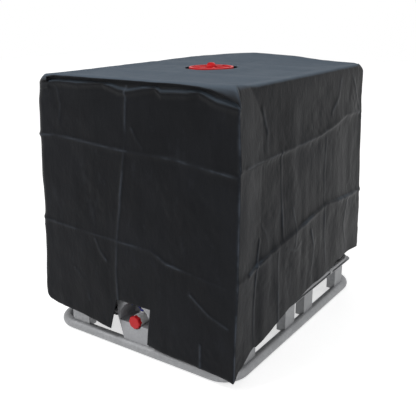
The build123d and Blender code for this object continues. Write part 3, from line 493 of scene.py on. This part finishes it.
def crease(u, v, points, height, width, seed):
    """A sharp fold line along points (u, v): its height, which comes and goes along its run, and the mask for
    its painted highlight with some rubbing.
    """
    best = np.full(np.broadcast(u, v).shape, 1e3)
    for (u0, v0), (u1, v1) in zip(points, points[1:]):
        du, dv = u1 - u0, v1 - v0
        t = np.clip(((u - u0) * du + (v - v0) * dv) / (du * du + dv * dv), 0, 1)
        best = np.minimum(best, np.hypot(u - u0 - t * du, v - v0 - t * dv))
    strength = 1 - FOLD_BREAKS + FOLD_BREAKS * noise(u * 9 + 3.1, v * 9 + 7.7, seed)
    tent = height * strength * np.clip(1 - best / width, 0, 1) ** FOLD_SHARPNESS
    return tent, strength * np.clip(1 - best / FOLD_HIGHLIGHT_HALF, 0, 1)


FRONT_FOLDS = [
    (
        [
            (-0.50, 0.905), (-0.38, 0.908), (-0.10, 0.889), (0.02, 0.882),
            (0.23, 0.882), (0.36, 0.865), (0.49, 0.85),
        ],
        *(0.0055, 0.02, 11),
    ),
    (
        [(-0.50, 0.53), (-0.34, 0.515), (-0.14, 0.505), (0.12, 0.497), (0.19, 0.462), (0.45, 0.427)],
        *(0.005, 0.018, 12),
    ),
    (
        [(0.02, 1.12), (0.005, 0.93), (-0.03, 0.70), (-0.056, 0.52), (-0.067, 0.37), (-0.06, 0.24)],
        *(0.004, 0.014, 13),
    ),
    ([(-0.175, 0.49), (-0.15, 0.44), (-0.117, 0.405)], 0.0045, 0.012, 14),
    ([(0.04, 0.97), (0.065, 0.93), (0.09, 0.90)], 0.0045, 0.014, 15),
    ([(-0.36, 1.10), (-0.33, 1.03), (-0.345, 0.96)], 0.004, 0.016, 16),
    ([(0.30, 0.36), (0.38, 0.30), (0.46, 0.27)], 0.003, 0.016, 17),
    ([(-0.30, 0.33), (-0.24, 0.28), (-0.22, 0.20)], 0.003, 0.018, 18),
    ([(0.342, 0.165), (0.340, 0.061)], 0.006, 0.006, 19),
]
RIGHT_FOLDS = [
    (
        [(-0.54, 0.872), (-0.33, 0.868), (0.06, 0.880), (0.21, 0.905), (0.36, 0.935), (0.52, 0.925)],
        *(0.006, 0.020, 21),
    ),
    ([(-0.50, 0.459), (-0.24, 0.496), (0.17, 0.553), (0.40, 0.529), (0.59, 0.524)], 0.007, 0.020, 22),
    ([(-0.25, 0.87), (-0.24, 0.70), (-0.228, 0.508)], 0.005, 0.013, 23),
    ([(-0.274, 0.467), (-0.272, 0.30), (-0.267, 0.13)], 0.005, 0.013, 24),
    ([(0.152, 0.54), (0.16, 0.40), (0.175, 0.266)], 0.0035, 0.012, 25),
    ([(0.16, 0.86), (0.15, 0.70), (0.155, 0.57)], 0.003, 0.013, 26),
    ([(-0.40, 1.06), (-0.36, 0.97), (-0.37, 0.90)], 0.005, 0.016, 27),
    ([(0.42, 1.12), (0.50, 1.0), (0.56, 0.90)], 0.006, 0.022, 28),
    ([(0.30, 1.10), (0.27, 1.02), (0.20, 0.96)], 0.005, 0.020, 29),
    ([(-0.40, 0.62), (-0.36, 0.57), (-0.35, 0.52)], 0.0035, 0.012, 30),
    ([(-0.20, 0.46), (-0.13, 0.43), (-0.08, 0.45)], 0.004, 0.014, 31),
    ([(0.02, 0.47), (0.05, 0.38), (0.04, 0.30)], 0.0035, 0.014, 32),
    ([(0.40, 0.52), (0.36, 0.40), (0.40, 0.30)], 0.0035, 0.016, 33),
    ([(-0.15, 0.62), (-0.12, 0.54), (-0.13, 0.45)], 0.003, 0.012, 34),
    ([(-0.415, 0.565), (-0.442, 0.443), (-0.456, 0.33), (-0.458, 0.20), (-0.452, 0.13)], 0.006, 0.012, 35),
]
OTHER_FOLDS = [
    ([(-0.60, 0.885), (-0.20, 0.875), (0.20, 0.89), (0.60, 0.88)], 0.0055, 0.019, 41),
    ([(-0.60, 0.49), (-0.10, 0.50), (0.25, 0.485), (0.60, 0.495)], 0.0055, 0.019, 42),
    ([(0.0, 1.12), (0.01, 0.80), (-0.015, 0.50), (0.0, 0.16)], 0.0045, 0.014, 43),
    ([(-0.34, 1.05), (-0.30, 0.97), (-0.33, 0.90)], 0.004, 0.016, 44),
    ([(0.24, 0.47), (0.28, 0.38), (0.26, 0.28)], 0.004, 0.015, 45),
    ([(0.36, 1.09), (0.33, 1.0), (0.28, 0.95)], 0.0045, 0.018, 46),
    ([(-0.22, 0.40), (-0.26, 0.30), (-0.24, 0.2)], 0.0035, 0.015, 47),
]


def wall_relief(z):
    """How far the wall stands out from its plane (folds, waves, dents), and the mask for the painted
    highlight along its folds.
    """
    u = np.broadcast_to(ALONG, z.shape)
    ring = np.broadcast_to(ROUND_AT / GIRTH, z.shape)
    relief, pale_marks = np.zeros(z.shape), np.zeros(z.shape)
    for side, folds in ((FRONT, FRONT_FOLDS), (RIGHT, RIGHT_FOLDS), (BACK, OTHER_FOLDS), (LEFT, OTHER_FOLDS)):
        mine = SIDE == side
        flip = -1 if side == LEFT else 1
        for points, height, width, seed in folds:
            own_seed = seed + 60 * (side == LEFT)
            tent, paler_mask = crease(flip * u[:, mine], z[:, mine], points, height, width, own_seed)
            relief[:, mine] += tent
            # Painted highlight along each fold, stronger on taller folds.
            pale_marks[:, mine] = np.maximum(pale_marks[:, mine], paler_mask * (0.55 + 80 * (height - 0.003)))
    drop = np.clip((TOP_Z - z) / TOP_Z, 0, 1)
    waves = noise(ring * 58, z * 1.3 + 2, 51, 58) * 0.0032 + noise(ring * 121, z * 2.2, 52, 121) * 0.0011
    calm = np.where(SIDE == FRONT, 0.45, 1.0)
    relief += waves * calm * (0.55 + 0.6 * drop)
    relief += noise(ring * 24, z * 5.0, 53, 24) * 0.0035 + noise(ring * 66, z * 14, 54, 66) * 0.0014
    small = noise(ring * 210, z * 42, 55, 210)
    relief += 0.0008 * small * smooth(noise(ring * 30, z * 8, 56, 30), -0.2, 0.7)
    return relief, np.clip(pale_marks, 0, 1)


def lip_out(x):
    """How far the top panel's front edge stands in front of the wall."""
    return 0.015 + 0.003 * noise(x * 9 + 40, x * 0 + 0.5, 61) + 0.010 * smooth(x, 0.22, 0.494)


LIP_X = [-0.494, -0.44, -0.36, 0.30, 0.354, 0.40, 0.444, 0.483, 0.494]
LIP_DROP = [0.012, 0.005, 0.004, 0.003, 0.006, 0.013, 0.027, 0.045, 0.062]


def lip_drop(x):
    """How far that edge hangs below the top."""
    return np.interp(x, LIP_X, LIP_DROP) + 0.0015 * noise(x * 11 + 20, x * 0 + 0.5, 62)


EDGE_X = [-0.494, -0.40, -0.32, -0.23, -0.10, -0.013, 0.032, 0.160, 0.185, 0.30, 0.35, 0.42, 0.494]
EDGE_SINK = [0.018, 0.022, 0.018, 0.022, 0.010, 0.032, 0.036, 0.012, 0.030, 0.026, 0.016, 0.045, 0.060]


TOP_FOLDS = [
    ([(0.0, -0.56), (0.01, -0.14)], 73),
    ([(0.0, 0.14), (0.0, 0.57)], 74),
    ([(-0.47, 0.02), (-0.14, 0.0)], 75),
    ([(0.14, 0.0), (0.47, -0.02)], 76),
]
TOP_FOLD_HEIGHT, TOP_FOLD_WIDTH = 0.0016, 0.012
TOP_BAR_Y = 0.216
TOP_SLACK = 0.007
BACK_BULGE = 0.030


def top_height(x, y):
    """The top panel: on the cage's top ring and two bars, slack between them, raised at the back."""
    rim = np.maximum(np.abs(x) / HALF_X, np.abs(y) / HALF_Y)
    slack = TOP_SLACK * (1 - smooth(rim, 0.80, 0.97)) * (1 - hump(np.abs(y), TOP_BAR_Y, 0.10))
    radial = np.hypot(x, y)
    slack *= smooth(radial, 0.12, 0.24)
    z = TOP_Z - slack + 0.0045 * (1 - smooth(radial, HOLE_R, 0.20))
    z += 0.013 * smooth(-y, 0.42, 0.585) * smooth(x, -0.47, -0.34)
    z += 0.0016 * noise(x * 7 + 50, y * 7 + 50, 71) * (1 - hump(np.abs(y), TOP_BAR_Y, 0.04))
    z += 0.0007 * noise(x * 26 + 50, y * 26 + 50, 72)
    for points, seed in TOP_FOLDS:
        z += crease(x, y, points, TOP_FOLD_HEIGHT, TOP_FOLD_WIDTH, seed)[0]
    z += BACK_BULGE * hump(x, -0.08, 0.52) * smooth(y, 0.18, 0.56)
    return z


HEM_FRONT = (
    [-0.494, -0.46, -0.42, -0.35, -0.27, -0.20, -0.14, 0.105, 0.20, 0.28, 0.376, 0.46, 0.494],
    [0.165, 0.138, 0.128, 0.124, 0.119, 0.107, 0.099, 0.079, 0.069, 0.066, 0.060, 0.052, 0.046],
)
HEM_RIGHT = (
    [-0.594, -0.57, -0.53, -0.485, -0.455, -0.44, -0.39, -0.29, -0.13, 0.107, 0.24, 0.307, 0.457, 0.594],
    [0.048, 0.082, 0.100, 0.121, 0.131, 0.124, 0.134, 0.155, 0.186, 0.200, 0.212, 0.230, 0.226, 0.216],
)
HEM_BACK = ([-0.494, -0.40, 0.0, 0.494], [0.214, 0.180, 0.150, 0.150])
HEM_LEFT = ([-0.594, 0.0, 0.40, 0.56, 0.594], [0.152, 0.132, 0.130, 0.148, 0.163])
CAGE_HALF_X, CAGE_HALF_Y, CAGE_BEND_R = 0.486, 0.586, 0.089

# corner radii at the start of the front, right, back and left sides, at the top and at the hem
TOP_CORNER_R = np.array([0.062, 0.006, 0.045, 0.055])
HEM_CORNER_R = np.array([0.030, 0.006, 0.030, 0.030])
HEM_FLARE, FLARE_DEPTH = 0.022, 1.08

# the two long folds that the right wall hangs over, as places along it and heights
DRAPE_UPPER = ([-0.54, -0.33, 0.06, 0.21, 0.36, 0.59], [0.872, 0.868, 0.880, 0.900, 0.930, 0.922])
DRAPE_LOWER = ([-0.50, -0.24, 0.17, 0.40, 0.59], [0.459, 0.496, 0.553, 0.529, 0.524])
UPPER_DRAPE, LOWER_DRAPE = 0.011, 0.008

# the front edge's section: a fixed step out, shares of its own reach and drop, and a fixed drop
LIP_PROFILE = [
    (-RIM_START, 0, 0, 0.0), (-0.008, 0.05, 0.02, 0.0002), (0, 0.28, 0.14, 0.0006), (0, 0.56, 0.38, 0.0012),
    (0, 0.80, 0.66, 0.002), (0, 0.95, 0.90, 0.003), (0, 1.0, 1.0, 0.0045), (-0.0012, 0.94, 1.0, 0.0068),
    (-0.002, 0.45, 0.86, 0.0072), (-0.003, 0.08, 0.66, 0.0080), (-0.0045, 0.0, 0.60, 0.0120),
    (-0.0045, 0, 0.62, 0.016), (-0.004, 0, 0.64, 0.020),
]


def past_cage(x, y):
    """How far a place lies outside the cage's round corner, in metres."""
    dx = np.abs(x) - (CAGE_HALF_X - CAGE_BEND_R)
    dy = np.abs(y) - (CAGE_HALF_Y - CAGE_BEND_R)
    beyond = np.hypot(np.clip(dx, 0, None), np.clip(dy, 0, None)) - CAGE_BEND_R
    return np.clip(beyond, 0, 0.05) * (dx > 0) * (dy > 0)


def cover_places():
    """The rim's and walls' vertices as x, y, z and the mask for the painted fold highlight, each (rows,
    columns).
    """
    x_front = np.where(SIDE == FRONT, ALONG, np.where(SIDE == LEFT, -HALF_X, HALF_X))
    is_front = (SIDE == FRONT).astype(float)
    left_fade = smooth(ALONG, -HALF_X, -HALF_X + 0.13)
    lip = is_front * left_fade
    beyond = np.where(SIDE == RIGHT, ALONG + HALF_Y, 1e3)
    lip = np.where(SIDE == RIGHT, np.clip(1 - beyond / 0.02, 0, 1), lip)

    # rim profile: a rounded edge on three sides, an overhanging lip on the front
    turn = np.linspace(0, math.pi / 2, RIM_ROWS + 1)
    round_out = (RIM_START * (np.sin(turn) - 1))[:, None] + 0 * ALONG
    round_drop = (RIM_START * (1 - np.cos(turn)))[:, None] + 0 * ALONG
    out, drop = lip_out(x_front), lip_drop(x_front)
    front_out = np.array([fixed + share * out for fixed, share, _, _ in LIP_PROFILE])
    front_drop = np.array([share * drop + fixed for _, _, share, fixed in LIP_PROFILE])
    rim_out = round_out * (1 - lip) + front_out * lip
    rim_drop = round_drop * (1 - lip) + front_drop * lip

    # hem heights
    hem = np.select(
        [SIDE == FRONT, SIDE == RIGHT, SIDE == BACK],
        [np.interp(ALONG, *HEM_FRONT), np.interp(ALONG, *HEM_RIGHT), np.interp(ALONG, *HEM_BACK)],
        np.interp(ALONG, *HEM_LEFT),
    )
    hem = hem + 0.003 * noise(ROUND_AT / GIRTH * 40, ALONG * 0 + 0.5, 81, 40)
    knee = np.where(SIDE == FRONT, NOTCH_Z, np.maximum(NOTCH_Z, hem + 0.055))

    # wall heights
    wall_top = TOP_Z - rim_drop[-1]
    down = np.linspace(0, 1, WALL_ROWS + 1)[1:, None]
    wall_z = wall_top * (1 - down) + knee * down
    below = np.linspace(0, 1, HEM_ROWS + 1)[1:, None]
    hem_z = knee * (1 - below) + hem * below
    walls = np.vstack([wall_z, hem_z])

    relief, pale_marks = wall_relief(walls)
    depth = TOP_Z - walls
    settle = smooth(depth, 0.02, 0.10)
    flare = HEM_FLARE * np.clip(depth / FLARE_DEPTH, 0, 1) ** 1.5
    sink = np.interp(x_front, EDGE_X, EDGE_SINK)
    ledge = np.exp(-(((depth - sink - 0.014) / 0.013) ** 2)) * 0.013 * smooth(depth, sink * 0.5, sink + 0.008)
    front_relief = relief * settle + ledge * lip
    upper = walls - np.interp(ALONG, *DRAPE_UPPER)
    lower = np.interp(ALONG, *DRAPE_LOWER) - walls
    draped = UPPER_DRAPE * np.exp(-np.where(upper > 0, upper / 0.075, -upper / 0.011))
    draped += LOWER_DRAPE * np.exp(-np.where(lower > 0, lower / 0.09, -lower / 0.012))
    draped *= (SIDE == RIGHT) * (1 - 0.8 * smooth(ALONG, 0.42, 0.57))
    wall_out = rim_out[-1] * (1 - settle) + front_relief + flare + draped
    wall_out = np.maximum(wall_out, -0.004)
    wall_out += 0.003 * settle * is_front

    out_all = np.vstack([rim_out, wall_out])
    z_all = np.vstack([TOP_Z - rim_drop, walls])
    fall = np.clip((TOP_Z - z_all) / 0.95, 0, 1)
    start_r = TOP_CORNER_R[SIDE] * (1 - fall) + HEM_CORNER_R[SIDE] * fall
    end_r = TOP_CORNER_R[(SIDE + 1) % 4] * (1 - fall) + HEM_CORNER_R[(SIDE + 1) % 4] * fall
    x, y = outline(out_all, start_r, end_r)
    pale_marks = np.vstack([np.zeros(rim_out.shape), pale_marks])
    return x, y, z_all, pale_marks


FIN_DEPTH = [0, 0.02, 0.05, 0.10, 0.23, 0.37, 0.555, 0.75, 0.96, 1.10]
FIN_RIGHT = [0.006, 0.019, 0.028, 0.031, 0.030, 0.028, 0.024, 0.015, 0.004, 0.0]
FIN_FRONT = [0.002, 0.008, 0.014, 0.012, 0.006, 0.004, 0.004, 0.004, 0.004, 0.003]
FIN_WIDTH_RIGHT = ([0, 0.05, 0.12, 0.55, 0.70, 0.95, 1.10], [0.10, 0.15, 0.20, 0.19, 0.16, 0.14, 0.13])
FIN_WIDTH_LEFT = ([0, 0.06, 0.12, 0.4, 1.1], [0.12, 0.12, 0.06, 0.05, 0.08])


def shape_near_corner(x, y, z):
    """The spare width at the near corner stands out as one long fin, with a flat facet on its right."""
    gap = ROUND_AT - NEAR_CORNER
    depth = TOP_Z - z
    right_width = np.interp(depth, *FIN_WIDTH_RIGHT)
    left_width = np.interp(depth, *FIN_WIDTH_LEFT)
    on_right = np.clip(1 - gap / right_width, 0, 1)
    share = np.where(gap >= 0, on_right, np.clip(1 + gap / left_width, 0, 1) ** 1.5)
    out_right = np.interp(depth, FIN_DEPTH, FIN_RIGHT) * share
    return x + out_right, y - np.interp(depth, FIN_DEPTH, FIN_FRONT) * share


def make_cover(material):
    x, y, z, pale_marks = cover_places()
    x, y = shape_near_corner(x, y, z)
    gap = np.abs(ROUND_AT - NEAR_CORNER)
    # Painted highlight: the near corner's fin ridge gets a paler strip through the same fold mask, standing
    # in for the light it catches.
    pale_marks = np.maximum(pale_marks, 0.8 * np.clip(1 - gap / FOLD_HIGHLIGHT_HALF, 0, 1) * smooth(TOP_Z - z, 0.02, 0.06))
    pale_marks = np.vstack([np.zeros((TOP_ROWS, gap.size)), pale_marks])

    # top rows run from the hole to where the rim begins
    rim_x, rim_y = x[0], y[0]
    angle = np.arctan2(rim_y, rim_x)
    ragged = HOLE_R + 0.0015 * noise(angle / (2 * math.pi) * 14, angle * 0 + 0.5, 91, 14)
    hole_x, hole_y = ragged * np.cos(angle), ragged * np.sin(angle)
    share = np.linspace(0, 1, TOP_ROWS + 1)[:-1, None]
    top_x, top_y = hole_x * (1 - share) + rim_x * share, hole_y * (1 - share) + rim_y * share
    raise_by = top_height(x, y) - TOP_Z
    z = z + raise_by * np.clip(1 - (TOP_Z - z) / 0.25, 0, 1)
    xs, ys, zs = np.vstack([top_x, x]), np.vstack([top_y, y]), np.vstack([top_height(top_x, top_y), z])

    # past the cage's round corners the film has nothing under it and droops
    steep = np.where((xs > 0) & (ys < 0), 0.0, 0.75)
    zs -= steep * past_cage(xs, ys) * np.clip(1 - (TOP_Z - zs) / 0.30, 0, 1)

    rows, cols = xs.shape
    notch_row = TOP_ROWS + RIM_ROWS + 1 + WALL_ROWS - 1
    front = np.flatnonzero(SIDE == FRONT)
    left = front[np.argmin(np.abs(ALONG[front] - NOTCH_LEFT))]
    right = front[np.argmin(np.abs(ALONG[front] - NOTCH_RIGHT))]
    below = np.clip((NOTCH_Z - zs[notch_row:]) / (NOTCH_Z - 0.07), 0, 1.2)
    for edge, slant, reach in ((left, NOTCH_LEFT_SLANT, 0.12), (right, NOTCH_RIGHT_SLANT, 0.10)):
        xs[notch_row:] += below * slant * hump(ALONG, ALONG[edge], reach) * (SIDE == FRONT)

    index = np.arange(rows * cols).reshape(rows, cols)
    nxt = np.roll(index, -1, axis=1)
    quads = np.stack([index[:-1], index[1:], nxt[1:], nxt[:-1]], axis=-1)
    keep = np.ones(quads.shape[:2], bool)
    keep[notch_row:, left:right] = False
    quads = quads[keep]
    used = np.unique(quads)
    renumber = np.full(rows * cols, -1)
    renumber[used] = np.arange(used.size)
    places = np.stack([xs, ys, zs], axis=-1).reshape(-1, 3)[used]
    pale_marks = pale_marks.reshape(-1)[used]
    quads = renumber[quads]

    mesh = bpy.data.meshes.new("cover")
    mesh.vertices.add(len(places))
    mesh.vertices.foreach_set("co", places.astype(np.float32).ravel())
    mesh.loops.add(quads.size)
    mesh.loops.foreach_set("vertex_index", quads.astype(np.int32).ravel())
    mesh.polygons.add(len(quads))
    mesh.polygons.foreach_set("loop_start", np.arange(0, quads.size, 4, dtype=np.int32))
    mesh.update(calc_edges=True)
    mesh.validate()
    mesh.polygons.foreach_set("use_smooth", np.ones(len(mesh.polygons), bool))
    # The painted fold highlight mask reaches the material through this attribute.
    mesh.attributes.new(FOLD_LIGHT_ATTRIBUTE, "FLOAT", "POINT").data.foreach_set("value", pale_marks.astype(np.float32))
    mesh.materials.append(material)
    cover = add_object("cover", mesh)
    thickness = cover.modifiers.new("film", "SOLIDIFY")
    thickness.thickness, thickness.offset = FILM_THICK, -1
    return cover


def main():
    make_camera()
    make_stage()
    made = make_materials()
    cover = make_cover(made["cover_film"])
    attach(cover, "cover")
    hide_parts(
        "cover_top", "cover_front", "cover_back", "cover_left", "cover_right", "cover_corner_folds"
    )


main()
bpy.context.scene.view_settings.view_transform = "Standard"
